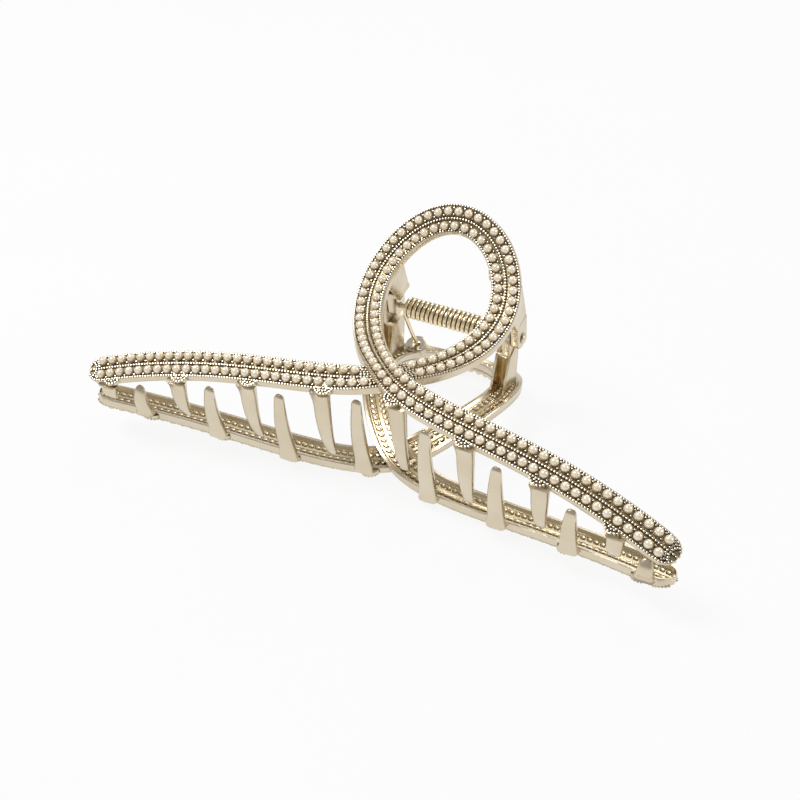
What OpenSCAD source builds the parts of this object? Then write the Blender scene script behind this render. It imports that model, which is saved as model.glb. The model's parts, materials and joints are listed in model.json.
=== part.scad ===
// Claw clip for hair: two alike knotted jaws set with pearls, a hinge pin and a torsion spring.
// X runs along the hinge, +Y points to the handle loops and +Z is up. The clip lies on its rear jaw.
// Each jaw is drawn upright first (x along the hinge, y towards the handles, z away from the other
// jaw), with the two strands crossing at x = 0, y = 0, and is then laid down.

/* [Jaw] */
// Length of the jaw from end to end
clip_l = 130; // [110:1:150]
// Depth of one jaw from the middle plane to its face, at the crossing
jaw_depth = 13.5; // [12:0.5:17]
// Depth of one jaw from the middle plane to its face, at its ends
end_depth = 4; // [3.6:0.1:5]
// Power of the bow curve, 2 being a parabola
bow_power = 1.9; // [1.6:0.1:2.4]
// How far the arms droop below the crossing at their ends
arm_droop = 15; // [10:0.5:18]
// Slope of the arm at its end, in degrees
arm_end_angle = 18; // [5:1:25]
// Outward lean of the arm's face at the crossing, as a slope
arm_lean = 0.2; // [0:0.05:0.4]
// Extra outward lean of the face at the arm's end, as a slope
arm_end_lean = 0.19; // [0:0.01:0.3]

/* [Handle loop] */
// Half the width of the loop, to the middle of the strand
loop_r = 14.5; // [13:0.5:17]
// Height of the loop's widest place above the crossing
loop_wide_y = 24.5; // [21:0.5:28]
// Height of the loop's top above the crossing, to the middle of the strand
loop_top_y = 38.8; // [34:0.2:44]
// Angle of each strand where they cross, in degrees
cross_angle = 38; // [30:1:45]
// Height of the waist, where the loops draw nearest, above the crossing
waist_y = 12.4; // [10:0.2:16]
// How far the waist draws in from the crossing
waist_in = 2.5; // [1:0.1:3]

/* [Strand] */
// Width of the strand
strand_w = 6.4; // [6.2:0.1:7.4]
// Depth of the strand's hollow back, from the pearl seat to the skirt's edge
skirt_d = 1.7; // [1.5:0.1:2.2]
// Thickness of the seat under the pearls
seat_t = 1; // [0.9:0.1:1.2]
// Thickness of the skirt walls
skirt_t = 0.8; // [0.6:0.1:1.2]
// Width of the raised border on both edges
border_w = 0.55; // [0.4:0.05:0.7]
// Height of the raised border over the pearl seat
border_h = 0.35; // [0.2:0.05:0.6]
// How deep the lower strand's seat sinks into the upper strand's where they cross
cross_lap = 0.3; // [0.3:0.05:0.5]

/* [Pearls] */
// Diameter of a pearl
pearl_d = 1.95; // [1.7:0.05:2.1]
// Gap between the pearls of a row
pearl_gap = 0.35; // [0.2:0.05:1]
// Gap between a pearl and the strand's border
border_gap = 0.12; // [0.08:0.01:0.2]
// Height of a pearl's middle over its flat back
pearl_seat = 0.45; // [0.3:0.05:0.7]
// Layer of glue under a pearl
glue_t = 0.05; // [0.05:0.01:0.08]

/* [Teeth] */
// Number of teeth on one jaw
tooth_n = 8; // [6:1:9]
// Distance from a jaw's end to its end tooth
tooth_end = 5.4; // [4.5:0.1:7]
// Shift of a jaw's teeth off the middle, as a share of their pitch, so that the two jaws' teeth alternate
tooth_shift = 0.2; // [0.17:0.01:0.25]
// Width of a tooth at its root
tooth_root_w = 3.6; // [3:0.1:4.5]
// Width of a tooth near its tip
tooth_tip_w = 2.2; // [1.8:0.1:3]
// Thickness of a tooth at its root
tooth_root_t = 1.9; // [1.5:0.1:2.4]
// Thickness of a tooth near its tip
tooth_tip_t = 1.1; // [0.9:0.1:1.6]
// Distance from a tooth's tip to the other jaw's skirt
tooth_gap = 2.2; // [0.5:0.1:3]
// How far the tooth curves out under the strand's edge
tooth_bulge = 1.6; // [1:0.1:3]
// How far the tip rises back over the strand's edge
tooth_rise = 0.6; // [0:0.1:3]

/* [Hinge] */
// Height of the hinge pin above the crossing
pin_y = 31; // [28:0.5:32]
// Diameter of the hinge pin
pin_d = 1.2; // [1:0.1:1.6]
// Gap around the pin in its bores
pin_clearance = 0.05; // [0.02:0.01:0.1]
// How far the inner ear stands inside the middle of the loop's strand
ear_inset = 1.7; // [1.2:0.1:2]
// Thickness of an ear's eye
ear_t = 1.8; // [1.4:0.1:2]
// Width of the hollow post that carries an ear
post_w = 3.6; // [3.2:0.1:4]
// Thickness of the post's walls
post_wall = 0.8; // [0.6:0.1:1]
// Gap between the ears of the two jaws
ear_gap = 0.3; // [0.2:0.05:0.5]
// Wall of the ear's eye around the pin
eye_wall = 1.9; // [1.4:0.1:2.2]
// How far the pin's heads stand over the pin
head_lip = 0.6; // [0.4:0.1:0.9]
// Thickness of the pin's heads
head_t = 0.6; // [0.4:0.1:1]

/* [Spring] */
// Diameter of the spring wire
wire_d = 0.95; // [0.8:0.05:1]
// Gap between the pin and the inside of the coil
coil_play = 0.9; // [0.5:0.1:1.2]
// Gap between the coil's turns
turn_gap = 0.13; // [0.06:0.01:0.25]
// Least gap between the coil's ends and the inner ears
coil_end_gap = 1.4; // [1:0.1:3]
// Radius of a spring lug
lug_r = 2.7; // [2.4:0.1:3]
// Thickness of a spring lug
lug_t = 1.2; // [1:0.1:1.6]
// How far the lug's middle hangs under the middle of the loop's strand
lug_drop = 0.4; // [0:0.1:1]
// How deep the lug lies under the skirt's edge
lug_depth = 1.4; // [1:0.1:1.8]
// Gap around the wire in the lug
lug_clearance = 0.15; // [0.08:0.01:0.25]

/* [Hidden] */
$fn = 32;

half_l = clip_l / 2;
half_w = strand_w / 2;
cross_lift = (seat_t - cross_lap) / 2;
cross_spread = 10;
ease_y = 5;
crossing_r = 11;
border_slope = 0.15;
wall_slope = 0.2;

pearl_r = pearl_d / 2;
pearl_pitch = pearl_d + pearl_gap;
row_gap = strand_w - 2 * border_w - pearl_d - 2 * border_gap;

tooth_pitch = (clip_l - 2 * tooth_end) / (tooth_n - 1 + 2 * tooth_shift);
first_tooth_x = tooth_end - half_l;

ear_x = loop_r - ear_inset;
outer_ear_x = ear_x + ear_t + ear_gap;
ear_r = pin_d / 2 + eye_wall;
bore_r = pin_d / 2 + pin_clearance;
head_d = pin_d + 2 * head_lip;
head_x = outer_ear_x + ear_t + ear_gap / 3;

coil_pitch = wire_d + turn_gap;
coil_r = pin_d / 2 + coil_play + wire_d / 2;
coil_turns = floor(2 * (ear_x - coil_end_gap) / coil_pitch) - 1;

// Rings along each curve of the strand, and steps of one turn and sides of the spring's wire
arm_rings = 30;
loop_rings = 13;
turn_steps = 12;
wire_sides = 6;

// ---- small helpers
function unit(v) = v / norm(v);
function mix(a, b, t) = a + (b - a) * t;
function smooth(t) = let (u = max(0, min(1, t))) u * u * (3 - 2 * u);
function bezier(p, t) =
    pow(1 - t, 3) * p[0] + 3 * pow(1 - t, 2) * t * p[1] + 3 * (1 - t) * t * t * p[2] + pow(t, 3) * p[3];
function mirrored(p) = [-p[0], p[1], p[2]];
function backwards(list) = [for (i = [len(list) - 1 : -1 : 0]) list[i]];

// ---- the jaw's face: depth at a place, and how it slopes
function bow(x) = end_depth + (jaw_depth - end_depth) * (1 - pow(min(1, abs(x) / half_l), bow_power));
function bow_slope(x) =
    -sign(x) * (jaw_depth - end_depth) * bow_power / half_l
    * pow(min(1, abs(x) / half_l), bow_power - 1);
// Height over the crossing, eased in so that the face has no crease there
function eased(y) = y > ease_y ? y : y < -ease_y ? 0 : pow(y + ease_y, 2) / (4 * ease_y);
function flare(y) = waist_in * (pow(eased(y) / waist_y - 1, 2) - 1);
function lean(x, y) =
    mix(arm_lean + arm_end_lean * abs(x) / half_l,
        2 * waist_in / waist_y * (max(y, 0) / waist_y - 1), smooth((y + 6) / 10));
function face(x, y) = bow(x) + flare(y);

// ---- the strand's middle line in plan: arm, lower loop, upper loop
cross_dir = [cos(cross_angle), sin(cross_angle)];
end_dir = [cos(arm_end_angle), sin(arm_end_angle)];
arm_end = [-half_l, -arm_droop];
loop_side = [loop_r, loop_wide_y];
loop_top = [0, loop_top_y];
loop_reach = norm(loop_side);
// Pulls of the curves' handles; round_k makes a quarter of an ellipse
round_k = 0.5523;
end_pull = 0.54 * half_l;
arm_pull = 0.24 * half_l;
knot_pull = 0.33 * loop_reach;
side_pull = 0.3 * loop_reach;
arm_curve = [arm_end, arm_end + end_dir * end_pull, -cross_dir * arm_pull, [0, 0]];
low_curve = [[0, 0], cross_dir * knot_pull, loop_side - [0, side_pull], loop_side];
top_curve = [loop_side, loop_side + [0, round_k * (loop_top_y - loop_wide_y)],
             loop_top + [round_k * loop_r, 0], loop_top];
end_steps = [0.0012, 0.005, 0.011, 0.019];
plan = concat(
    [for (t = end_steps) bezier(arm_curve, t)],
    [for (i = [1 : arm_rings]) bezier(arm_curve, i / arm_rings)],
    [for (i = [1 : loop_rings]) bezier(low_curve, i / loop_rings)],
    [for (i = [1 : loop_rings]) bezier(top_curve, i / loop_rings)]);

// Rise of a strand over the common face near the crossing
function rise(x, y, side) = side * cross_lift * exp(-(x * x + y * y) / pow(cross_spread, 2));

// A ring is [place, direction along, outward normal, direction across, shares of width and of height]
function end_share(p) =
    let (d = norm([half_l - abs(p[0]), arm_droop + p[1]]) / half_w)
    d > 1 ? 1 : sqrt(1 - pow(1 - d, 2));
function rings(side) = [
    for (i = [0 : len(plan) - 1])
        let (p = plan[i], a = plan[max(i - 1, 0)], b = plan[min(i + 1, len(plan) - 1)],
             at = [p[0], p[1], face(p[0], p[1]) + rise(p[0], p[1], side)],
             t = i == len(plan) - 1 ? [-1, 0, 0]
                : unit([b[0] - a[0], b[1] - a[1], face(b[0], b[1]) - face(a[0], a[1])]),
             m = [-bow_slope(p[0]), -lean(p[0], p[1]), 1],
             n = unit(m - (m * t) * t))
        [at, t, n, cross(n, t), end_share(p), 1]];

// The lower strand runs left arm, crossing, right of loop; the upper one is its mirror image
lower_rings = rings(-1);
upper_rings = backwards([
    for (r = rings(1)) [mirrored(r[0]), -mirrored(r[1]), mirrored(r[2]), mirrored(r[3]), r[4], 1]]);

// ---- the strand's section: across, outward
section = [
    [-half_w, -skirt_d], [-half_w, border_h], [-half_w + border_w, border_h],
    [-half_w + border_w + border_slope, 0], [half_w - border_w - border_slope, 0],
    [half_w - border_w, border_h], [half_w, border_h], [half_w, -skirt_d],
    [half_w - skirt_t, -skirt_d], [half_w - skirt_t - wall_slope, -seat_t],
    [-half_w + skirt_t + wall_slope, -seat_t],
    [-half_w + skirt_t, -skirt_d]];
section_cap = [
    [0, 1, 11], [1, 10, 11], [1, 2, 3], [1, 3, 10], [3, 4, 10], [4, 9, 10],
    [4, 5, 6], [4, 6, 9], [6, 8, 9], [6, 7, 8]];

module sweep(frames, outline, cap) {
    m = len(outline);
    last = (len(frames) - 1) * m;
    polyhedron(
        points = [for (f = frames, s = outline) f[0] + s[0] * f[4] * f[3] + s[1] * f[5] * f[2]],
        faces = concat(
            [for (c = cap) [c[2], c[1], c[0]]],
            [for (c = cap) [for (k = c) last + k]],
            [for (i = [0 : len(frames) - 2], j = [0 : m - 1])
                [i * m + j, i * m + (j + 1) % m, (i + 1) * m + (j + 1) % m]],
            [for (i = [0 : len(frames) - 2], j = [0 : m - 1])
                [i * m + j, (i + 1) * m + (j + 1) % m, (i + 1) * m + j]]));
}

function fan(m) = [for (i = [1 : m - 2]) [0, i, i + 1]];

// ---- teeth
arm_line = [for (r = lower_rings) if (r[0][0] <= 0 && r[0][1] <= 0) r];
// The arm's ring nearest to a distance from the middle, with its lower edge below the crossing
function near_ring(x) =
    let (d = [for (r = arm_line) abs(abs(x) + r[0][0])], i = search(min(d), d)[0]) arm_line[i];
function arm_drop(x) = near_ring(x)[0][1] - half_w * abs(near_ring(x)[3][1]);

tooth_outline = [
    [-1, -0.55], [-1, 0.55], [-0.6, 1], [0.6, 1], [1, 0.55], [1, -0.55], [0.6, -1], [-0.6, -1]];
module tooth(x) {
    end_lean = arm_lean + arm_end_lean * abs(x) / half_l;
    top = bow(abs(x) + tooth_root_w / 2) - end_lean * half_w - seat_t / 2;
    tip = -(bow(x) - skirt_d - arm_lean * half_w - tooth_gap);
    edge = arm_drop(x);
    steps = [
        [0, 1, 1], [0.12, 1, 1], [0.26, 0.97, 0.95], [0.42, 0.86, 0.8], [0.6, 0.66, 0.6],
        [0.78, 0.35, 0.3], [0.92, 0, 0], [0.98, -0.5, -0.3], [1, -1.1, -0.8]];
    frames = [
        for (s = steps)
            let (u = s[0],
                 y = pow(1 - u, 2) * 0.4 - 2 * u * (1 - u) * tooth_bulge + u * u * tooth_rise)
            [[x, edge + y, mix(top, tip, u)], [0, 0, -1], [0, 1, 0], [-1, 0, 0],
             mix(tooth_tip_w, tooth_root_w, s[1]) / 2, mix(tooth_tip_t, tooth_root_t, s[2]) / 2]];
    sweep(frames, tooth_outline, fan(len(tooth_outline)));
}

// ---- hinge ears: an eye round the pin on a hollow post, which is open towards the teeth
ear_foot = 7;
post_low_z = ear_r + 1.6;
eye_web_z = post_low_z + 1.4;
post_out = 0.3;

module across(x, width) {
    translate([x, 0, 0]) rotate([90, 0, 90]) linear_extrude(width) children();
}
// The post's outline in depth, shifted down by down to cut the hollow
module post_outline(x, down, low_z, sink) {
    foot = [for (i = [0 : 4]) let (y = mix(pin_y - ear_foot, pin_y, i / 4)) [y - down, face(x, y) - sink]];
    polygon(concat(foot, [[pin_y + ear_r - down, low_z], [pin_y - ear_r - down, low_z]]));
}
module ear(x0, post_x) {
    mid = post_x + post_w / 2;
    across(x0, ear_t) {
        translate([pin_y, 0]) circle(ear_r);
        translate([pin_y - ear_r, 0]) square([2 * ear_r, eye_web_z]);
    }
    difference() {
        across(post_x, post_w) post_outline(mid, 0, post_low_z, seat_t / 2);
        across(post_x + post_wall, post_w - 2 * post_wall)
            post_outline(mid, post_wall, post_low_z + 2 * post_wall, skirt_d);
    }
}

// ---- spring lugs: a small plate across the back of the strand, with a hole for the leg
loop_top_line = [for (i = [0 : loop_rings]) bezier(top_curve, 1 - i / loop_rings)];
whole_turns_half = coil_turns * coil_pitch / 2;
lug_y = lookup(whole_turns_half, loop_top_line) - lug_drop;
lug_z = face(whole_turns_half, lug_y) - skirt_d - lug_depth;
lug_hole_l = 3.4 * lug_t;
lug_reach = norm([lug_y - pin_y, lug_z]);
// The leg is a tangent from the lug's hole to the coil: its length, where it leaves and its direction,
// with places and angles in the plane across the pin, measured from the y axis
leg_l = sqrt(lug_reach * lug_reach - coil_r * coil_r);
leave = atan2(lug_z, lug_y - pin_y) + acos(coil_r / lug_reach);
leave_at = coil_r * [cos(leave), sin(leave)];
leg_dir = [sin(leave), -cos(leave)];

// Both legs lie in planes across the pin, so the coil ends part of a turn past its whole turns
coil_angle = 360 * coil_turns + (720 - 2 * leave) % 360;
coil_steps = ceil(coil_angle / 360 * turn_steps);
coil_half = coil_angle / 360 * coil_pitch / 2;
lug_x = coil_half;

// The foot fills the wedge between the plate and the sloping seat, on the side towards the crossing
module lug() {
    foot_w = 1.4 * lug_r;
    foot_l = 0.9 * lug_r;
    foot_top = face(lug_x, lug_y - foot_l) - seat_t / 2;
    translate([lug_x, lug_y, lug_z - lug_t / 2]) cylinder(r = lug_r, h = lug_t);
    translate([lug_x - foot_w / 2, lug_y - foot_l, lug_z - lug_t / 2])
        cube([foot_w, foot_l, foot_top - lug_z + lug_t / 2]);
}

module lug_hole() {
    translate([lug_x, lug_y, lug_z])
        rotate([-atan2(leg_dir[0], leg_dir[1]), 0, 0])
            cylinder(d = wire_d + 2 * lug_clearance, h = lug_hole_l, center = true);
}

module jaw() {
    color("palegoldenrod") difference() {
        union() {
            sweep(lower_rings, section, section_cap);
            sweep(upper_rings, section, section_cap);
            for (i = [0 : tooth_n - 1])
                tooth(first_tooth_x + i * tooth_pitch);
            ear(-ear_x - ear_t, -ear_x - ear_t - post_out);
            ear(outer_ear_x, outer_ear_x + ear_t - post_w);
            lug();
        }
        translate([-half_l, pin_y, 0]) rotate([0, 90, 0]) cylinder(r = bore_r, h = clip_l);
        lug_hole();
    }
}

// ---- pearls: both rows of a strand, spread evenly along each row
function row_line(frames, across) = [for (f = frames) f[0] + across * f[3]];
function lengths(line) = [
    for (i = 0, s = 0; i < len(line);
            s = s + (i + 1 < len(line) ? norm(line[i + 1] - line[i]) : 0), i = i + 1) s];
function segment(sums, s) = max([for (i = [0 : len(sums) - 2]) if (sums[i] <= s) i]);
function blend_ring(frames, sums, s) =
    let (i = segment(sums, s), t = (s - sums[i]) / (sums[i + 1] - sums[i]))
    [for (k = [0 : 3]) mix(frames[i][k], frames[i + 1][k], t)];
// The pearls of a row as [place, outward normal]
function row(frames, across) =
    let (line = row_line(frames, across), sums = lengths(line),
         total = sums[len(sums) - 1], count = floor(total / pearl_pitch), step = total / count)
    [for (i = [0 : count - 1])
        let (s = (i + 0.5) * step, k = segment(sums, s), f = blend_ring(frames, sums, s))
        [f[0] + across * f[3], unit(cross(line[k + 1] - line[k], f[3]))]];

// Every pearl as [place, outward normal, strand, row]
rows = [
    for (s = [[lower_rings, 1], [upper_rings, 2]], a = [-1, 1])
        let (list = row(s[0], a * row_gap / 2))
        [for (p = list) [p[0], p[1], s[1], a]]];
// Keep a pearl clear of the arm's rounded end
function on_arm(p) = abs(p[0]) < half_l - pearl_r - border_w - 2 * border_gap;
function in_crossing(p) = norm([p[0], p[1]]) < crossing_r;
// A pearl of the lower strand is left out where the upper strand runs over it
upper_middle = [for (r = upper_rings) if (in_crossing(r[0])) r[0]];
function clear_of_upper(p) = min([for (m = upper_middle) norm(m - p)]) > half_w + pearl_r + border_gap;
pearls = [
    for (r = rows, p = r)
        if (on_arm(p[0]) && (p[2] == 2 || !in_crossing(p[0]) || clear_of_upper(p[0]))) p];

// Which node a pearl belongs to: 0 and 1 arms, 2 crossing, 3 and 4 loop sides, 5 loop tip
tip_y = loop_wide_y + 0.45 * (loop_top_y - loop_wide_y);
function region(p) =
    in_crossing(p) ? 2 : p[1] < 0 ? (p[0] < 0 ? 0 : 1) : p[1] > tip_y ? 5 : p[0] < 0 ? 3 : 4;

module pearl(p) {
    out = p[1];
    color("ivory")
        translate(p[0] + out * glue_t)
            rotate([0, acos(out[2]), atan2(out[1], out[0])]) difference() {
                translate([0, 0, pearl_seat]) sphere(pearl_r);
                translate([-pearl_d, -pearl_d, -pearl_d]) cube([2 * pearl_d, 2 * pearl_d, pearl_d]);
            }
}

// The pearls of one region; rows 1 and -1 are the upper and the lower row of an arm
module pearl_group(part, rows_kept) {
    for (p = pearls)
        if (region(p[0]) == part && len(search(p[3], rows_kept)) > 0)
            pearl(p);
}

// ---- spring: one wire, from the front jaw's lug through the coil to the rear jaw's lug
wire_outline = [
    for (i = [0 : wire_sides - 1])
        wire_d / 2 * [sin(i * 360 / wire_sides), cos(i * 360 / wire_sides)]];
leg_end = 0.4;
leg_tip = leg_l + lug_t / 2 + leg_end;
function coil_ring(a) =
    let (w = leave + a, out = [0, cos(w), sin(w)],
         t = unit([-coil_pitch, 0, 0] + 2 * PI * coil_r * [0, -sin(w), cos(w)]))
    [[coil_half - coil_pitch * a / 360, 0, 0] + coil_r * out, t, out, cross(out, t), 1, 1];
function leg_ring(d) =
    let (out = [0, cos(leave), sin(leave)])
    [[coil_half, leave_at[0] + d * leg_dir[0], leave_at[1] + d * leg_dir[1]],
     [0, -leg_dir[0], -leg_dir[1]], out, [1, 0, 0], 1, 1];
// The rear leg is the front one turned half round the Y axis, and run the other way
function half_turn(v) = [-v[0], v[1], -v[2]];
front_leg = [for (k = [1, 0.5, 0.1]) leg_ring(k * leg_tip)];
rear_leg = backwards([
    for (r = front_leg) [half_turn(r[0]), -half_turn(r[1]), half_turn(r[2]), half_turn(-r[3]), 1, 1]]);
coil = [for (i = [0 : coil_steps]) coil_ring(i * coil_angle / coil_steps)];

module torsion_spring() {
    color("darkgoldenrod")
        translate([0, pin_y, 0])
            sweep(concat(front_leg, coil, rear_leg), wire_outline, fan(wire_sides));
}

module hinge_pin() {
    color("gold")
        translate([0, pin_y, 0])
            rotate([0, 90, 0]) {
                cylinder(d = pin_d, h = 2 * head_x, center = true);
                for (k = [0, 180])
                    rotate([k, 0, 0])
                        translate([0, 0, head_x]) cylinder(d = head_d, h = head_t);
            }
}

// ---- laying the clip down: the rear jaw's pearls touch the table at the loop and at the crossing
rear_high = [for (p = pearls) let (q = p[0] + p[1] * (glue_t + pearl_seat)) [q[1], -q[2]]];
tops = [for (q = rear_high) if (q[0] > pin_y) q];
bottoms = [for (q = rear_high) if (q[0] < waist_y) q];
lay_angle = max([for (t = tops) min([for (b = bottoms) atan2(b[1] - t[1], t[0] - b[0])])]);
lay_lift = pearl_r - min([for (q = rear_high) q[0] * sin(lay_angle) + q[1] * cos(lay_angle)]);
// The strands' edges after the laying, to put the middle of the clip over the origin
laid_y = [
    for (f = lower_rings, s = section, side = [-1, 1])
        let (v = f[0] + s[0] * f[4] * f[3] + s[1] * f[2])
        v[1] * cos(lay_angle) - side * v[2] * sin(lay_angle)];
lay_shift = -(min(laid_y) + max(laid_y)) / 2;

module laid() {
    translate([0, lay_shift, lay_lift]) rotate([lay_angle, 0, 0]) children();
}
module front() { laid() children(); }
module rear() { laid() rotate([0, 180, 0]) children(); }

rear() jaw();  // rear_jaw
front() jaw();  // front_jaw
laid() hinge_pin();
laid() torsion_spring();
rear() pearl_group(0, [1]);  // rear_left_arm_upper_pearls
rear() pearl_group(0, [-1]);  // rear_left_arm_lower_pearls
rear() pearl_group(1, [1]);  // rear_right_arm_upper_pearls
rear() pearl_group(1, [-1]);  // rear_right_arm_lower_pearls
rear() pearl_group(2, [-1, 1]);  // rear_crossing_pearls
rear() pearl_group(3, [-1, 1]);  // rear_loop_left_pearls
rear() pearl_group(4, [-1, 1]);  // rear_loop_right_pearls
rear() pearl_group(5, [-1, 1]);  // rear_loop_tip_pearls
front() pearl_group(0, [1]);  // front_left_arm_upper_pearls
front() pearl_group(0, [-1]);  // front_left_arm_lower_pearls
front() pearl_group(1, [1]);  // front_right_arm_upper_pearls
front() pearl_group(1, [-1]);  // front_right_arm_lower_pearls
front() pearl_group(2, [-1, 1]);  // front_crossing_pearls
front() pearl_group(3, [-1, 1]);  // front_loop_left_pearls
front() pearl_group(4, [-1, 1]);  // front_loop_right_pearls
front() pearl_group(5, [-1, 1]);  // front_loop_tip_pearls
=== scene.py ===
import json
import math

import bmesh
import bpy
from mathutils import Matrix, Vector


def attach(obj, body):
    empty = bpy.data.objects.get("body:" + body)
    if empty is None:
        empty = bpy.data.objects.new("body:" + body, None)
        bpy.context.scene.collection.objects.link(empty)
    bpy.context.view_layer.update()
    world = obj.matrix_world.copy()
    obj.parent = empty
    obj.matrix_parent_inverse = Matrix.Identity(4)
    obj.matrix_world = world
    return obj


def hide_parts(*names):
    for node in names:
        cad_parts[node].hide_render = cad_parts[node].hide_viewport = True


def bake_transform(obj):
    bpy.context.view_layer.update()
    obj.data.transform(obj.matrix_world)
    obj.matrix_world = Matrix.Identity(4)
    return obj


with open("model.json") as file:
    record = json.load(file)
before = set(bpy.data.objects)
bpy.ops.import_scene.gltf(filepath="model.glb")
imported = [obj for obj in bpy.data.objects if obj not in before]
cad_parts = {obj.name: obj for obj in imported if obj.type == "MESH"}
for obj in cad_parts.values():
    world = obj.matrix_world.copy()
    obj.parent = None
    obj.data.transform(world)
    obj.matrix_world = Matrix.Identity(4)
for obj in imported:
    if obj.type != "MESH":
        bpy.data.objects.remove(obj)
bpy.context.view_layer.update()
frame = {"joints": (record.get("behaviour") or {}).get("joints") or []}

# Driving sizes in millimetres, the same as the part's. In a jaw's own axes x runs along the hinge,
# y towards the handle loop and z away from the other jaw, with the crossing at 0, 0.
CLIP_L = 130
JAW_DEPTH = 13.5
END_DEPTH = 4
BOW_POWER = 1.9
ARM_DROOP = 15
ARM_END_ANGLE = math.radians(18)
ARM_LEAN = 0.2
ARM_END_LEAN = 0.19
LOOP_R = 14.5
LOOP_WIDE_Y = 24.5
LOOP_TOP_Y = 38.8
CROSS_ANGLE = math.radians(38)
WAIST_Y = 12.4
WAIST_IN = 2.5
STRAND_W = 6.4
SKIRT_D = 1.7
SEAT_T = 1
SKIRT_T = 0.8
BORDER_W = 0.55
CROSS_LAP = 0.3
PEARL_D = 1.95
PEARL_GAP = 0.35
BORDER_GAP = 0.12
PEARL_SEAT = 0.45
GLUE_T = 0.05
TOOTH_N = 8
TOOTH_END = 5.4
TOOTH_SHIFT = 0.2
TOOTH_ROOT_W = 3.6
TOOTH_TIP_W = 2.2
TOOTH_ROOT_T = 1.9
TOOTH_TIP_T = 1.1
TOOTH_GAP = 2.2
TOOTH_BULGE = 1.6
TOOTH_RISE = 0.6
PIN_Y = 31
PIN_D = 1.2
PIN_CLEARANCE = 0.05
EAR_INSET = 1.7
EAR_T = 1.8
EAR_GAP = 0.3
EAR_FOOT = 7
POST_W = 3.6
POST_OUT = 0.3
EYE_WALL = 1.9
HEAD_LIP = 0.6
HEAD_T = 0.6
WIRE_D = 0.95
COIL_PLAY = 0.9
TURN_GAP = 0.13
COIL_END_GAP = 1.4
LUG_R = 2.7
LUG_T = 1.2
LUG_DROP = 0.4
LUG_DEPTH = 1.4
LUG_CLEARANCE = 0.15
# How far the clip tips over when it lies on its rear jaw, as the part works it out
LAY_ANGLE = math.radians(12.3584)

# Sizes that follow from them
HALF_L = CLIP_L / 2
HALF_W = STRAND_W / 2
CROSS_LIFT = (SEAT_T - CROSS_LAP) / 2
CROSS_SPREAD = 10
EASE_Y = 5
CROSSING_R = 11
PEARL_R = PEARL_D / 2
PEARL_PITCH = PEARL_D + PEARL_GAP
ROW_GAP = STRAND_W - 2 * BORDER_W - PEARL_D - 2 * BORDER_GAP
EAR_X = LOOP_R - EAR_INSET
OUTER_EAR_X = EAR_X + EAR_T + EAR_GAP
EAR_R = PIN_D / 2 + EYE_WALL
BORE_R = PIN_D / 2 + PIN_CLEARANCE
HEAD_X = OUTER_EAR_X + EAR_T + EAR_GAP / 3
POST_LOW_Z = EAR_R + 1.6
EYE_WEB_Z = POST_LOW_Z + 1.4
COIL_PITCH = WIRE_D + TURN_GAP
COIL_R = PIN_D / 2 + COIL_PLAY + WIRE_D / 2
COIL_TURNS = math.floor(2 * (EAR_X - COIL_END_GAP) / COIL_PITCH) - 1

X = Vector((1, 0, 0))
Y = Vector((0, 1, 0))
Z = Vector((0, 0, 1))

# The hinge gives the place of a laid jaw, whose pin lies PIN_Y from the crossing
hinge = frame["joints"][0]
pin_place = 1000 * Vector(hinge["pos_m"])
tilt = Matrix.Rotation(LAY_ANGLE, 4, "X")
FRONT = Matrix.Translation(pin_place - tilt @ (PIN_Y * Y)) @ tilt
REAR = FRONT @ Matrix.Rotation(math.pi, 4, "Y")
JAWS = {"front": FRONT, "rear": REAR}
TO_METRES = Matrix.Scale(0.001, 4)


# ---- curves of the jaw
def mix(a, b, t):
    return a + (b - a) * t


def smooth(t):
    u = max(0, min(1, t))
    return u * u * (3 - 2 * u)


def bezier(p, t):
    s = 1 - t
    return s**3 * p[0] + 3 * s * s * t * p[1] + 3 * s * t * t * p[2] + t**3 * p[3]


def bow(x):
    """How far the strand's face stands off the plane between the jaws."""
    return END_DEPTH + (JAW_DEPTH - END_DEPTH) * (1 - min(1, abs(x) / HALF_L) ** BOW_POWER)


def bow_slope(x):
    steepness = (JAW_DEPTH - END_DEPTH) * BOW_POWER / HALF_L
    return -math.copysign(steepness * min(1, abs(x) / HALF_L) ** (BOW_POWER - 1), x)


def flare(y):
    """How far the loop swings out beyond the bow, pulled in at the waist."""
    eased = y if y > EASE_Y else 0 if y < -EASE_Y else (y + EASE_Y) ** 2 / (4 * EASE_Y)
    return WAIST_IN * ((eased / WAIST_Y - 1) ** 2 - 1)


def lean(x, y):
    """The slope of the strand's face towards the loop."""
    on_loop = 2 * WAIST_IN / WAIST_Y * (max(y, 0) / WAIST_Y - 1)
    return mix(ARM_LEAN + ARM_END_LEAN * abs(x) / HALF_L, on_loop, smooth((y + 6) / 10))


def face(x, y):
    return bow(x) + flare(y)


def rise(x, y, side):
    """How far a strand is lifted at the crossing: side is 1 for the upper one and -1 for the lower."""
    return side * CROSS_LIFT * math.exp(-(x * x + y * y) / CROSS_SPREAD**2)


def flat(length, angle):
    """A step of a length in a direction, seen from above the jaw."""
    return length * Vector((math.cos(angle), math.sin(angle)))


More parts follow.
